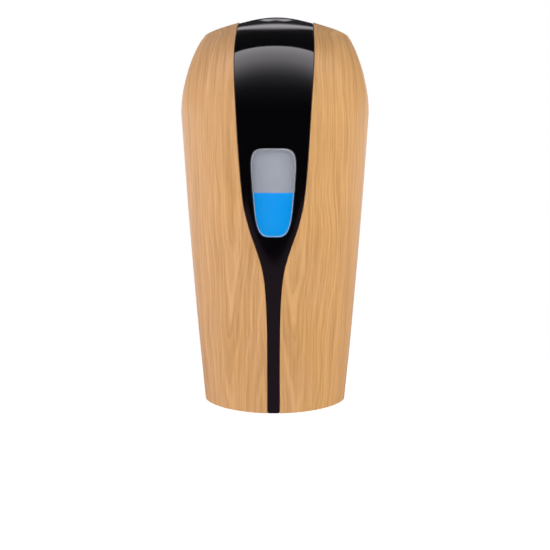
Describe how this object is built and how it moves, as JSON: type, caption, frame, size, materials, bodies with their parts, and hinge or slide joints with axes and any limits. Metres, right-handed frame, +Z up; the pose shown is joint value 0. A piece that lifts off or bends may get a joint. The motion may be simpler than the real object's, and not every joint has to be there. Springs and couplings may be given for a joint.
{
  "type": "automatic soap dispenser",
  "caption": "Wall-mounted touch-free soap dispenser: a hinged hood with a sight window covers a lift-out tank, a motor-driven gear pump, a battery bay and a hand sensor at the foot.",
  "frame": {"origin": "On the wall plane, at the middle of the back plate's rear face, 160 mm above the cover's lowest point", "axes": "+Y points into the wall, +X to the right as seen from the front, +Z up"},
  "size_m": [0.1304, 0.112, 0.27],
  "materials": {
    "wood_look": "satin wood-grain film on moulded plastic",
    "gloss_black": "piano gloss",
    "smoked_clear": "clear, lightly smoked",
    "soap_blue": "liquid soap",
    "white_plastic": "moulded",
    "grey_plastic": "moulded",
    "black_plastic": "moulded",
    "natural_plastic": "translucent, blow-moulded",
    "rubber": "moulded",
    "silicone": "translucent",
    "steel": "plain",
    "contact_brass": "plain",
    "board_green": "solder mask",
    "lamp_clear": "clear resin",
    "lamp_blue": "tinted resin",
    "cell_wrap": "printed sleeve, plain"
  },
  "bodies": {
    "wall_unit": {"back_plate": "white_plastic", "battery_1": "cell_wrap", "battery_2": "cell_wrap", "battery_3": "cell_wrap", "battery_4": "cell_wrap", "battery_tray": "black_plastic", "bottom_plate": "black_plastic", "capacitor": "steel", "contact_strip_left": "contact_brass", "contact_strip_right": "contact_brass", "control_board": "board_green", "core_case": "grey_plastic", "core_lid": "grey_plastic", "hinge_pin_left": "steel", "hinge_pin_right": "steel", "idler_pin": "steel", "inlet_hose": "silicone", "ir_emitter": "lamp_clear", "ir_receiver": "gloss_black", "lid_screw_front_left": "steel", "lid_screw_front_right": "steel", "lid_screw_rear_left": "steel", "lid_screw_rear_right": "steel", "motor_can": "steel", "motor_end_cap": "white_plastic", "nozzle": "white_plastic", "nozzle_valve": "rubber", "outlet_hose": "silicone", "processor": "black_plastic", "pump_body": "natural_plastic", "pump_cover": "natural_plastic", "pump_screw_front": "steel", "pump_screw_rear": "steel", "sensor_board": "board_green", "sensor_window": "gloss_black", "shaft_seal": "rubber", "socket_seal": "rubber", "status_led": "lamp_blue", "switch_body": "black_plastic"},
    "cover": {"centre_panel": "gloss_black", "cover_frame": "black_plastic", "latch_spring_left": "steel", "latch_spring_right": "steel", "left_shell": "wood_look", "right_shell": "wood_look", "window_lens": "smoked_clear"},
    "latch": {"latch_button": "gloss_black"},
    "tank": {"cap_seal": "rubber", "reservoir": "natural_plastic", "soap_fill": "soap_blue", "valve_cage": "white_plastic", "valve_spring": "steel"},
    "tank_valve": {"valve_stem": "white_plastic"},
    "tank_cap": {"filler_cap": "white_plastic"},
    "pump_drive": {"drive_gear": "white_plastic", "motor_shaft": "steel"},
    "pump_idler": {"idler_gear": "white_plastic"},
    "cell_door": {"battery_door": "grey_plastic"},
    "power_switch": {"switch_knob": "white_plastic"}
  },
  "joints": [
    {"name": "cover_hinge", "type": "hinge", "parent": "wall_unit", "child": "cover", "pos_m": [0, -0.013, -0.1465], "axis": [1, 0, 0], "range_deg": [0, 80]},
    {"name": "latch_press", "type": "slide", "parent": "cover", "child": "latch", "axis": [0, 0, -1], "range_m": [0, 0.0025], "stiffness_N_per_m": 300, "springref_m": -0.003, "deforming": ["latch_spring_left", "latch_spring_right"]},
    {"name": "tank_lift", "type": "slide", "parent": "wall_unit", "child": "tank", "axis": [0, 0, 1], "range_m": [0, 0.005]},
    {"name": "valve_drop", "type": "slide", "parent": "tank", "child": "tank_valve", "axis": [0, 0, -1], "range_m": [0, 0.0025], "deforming": ["valve_spring"]},
    {"name": "cap_turn", "type": "hinge", "parent": "tank", "child": "tank_cap", "pos_m": [0, -0.04, 0.065], "axis": [0, 0, 1], "range_deg": [0, 90]},
    {"name": "motor_spin", "type": "hinge", "parent": "wall_unit", "child": "pump_drive", "pos_m": [0.0071, -0.037, -0.118], "axis": [1, 0, 0], "continuous": true},
    {"name": "idler_spin", "type": "hinge", "parent": "wall_unit", "child": "pump_idler", "pos_m": [0.0071, -0.049, -0.118], "axis": [1, 0, 0], "continuous": true},
    {"name": "door_slide", "type": "slide", "parent": "wall_unit", "child": "cell_door", "axis": [0, 0, -1], "range_m": [0, 0.01]},
    {"name": "switch_slide", "type": "slide", "parent": "wall_unit", "child": "power_switch", "axis": [0, 1, 0], "range_m": [0, 0.003]}
  ],
  "couplings": [
    {"joint": "valve_drop", "follows": "tank_lift", "ratio": 0.5},
    {"joint": "idler_spin", "follows": "motor_spin", "ratio": -1}
  ]
}
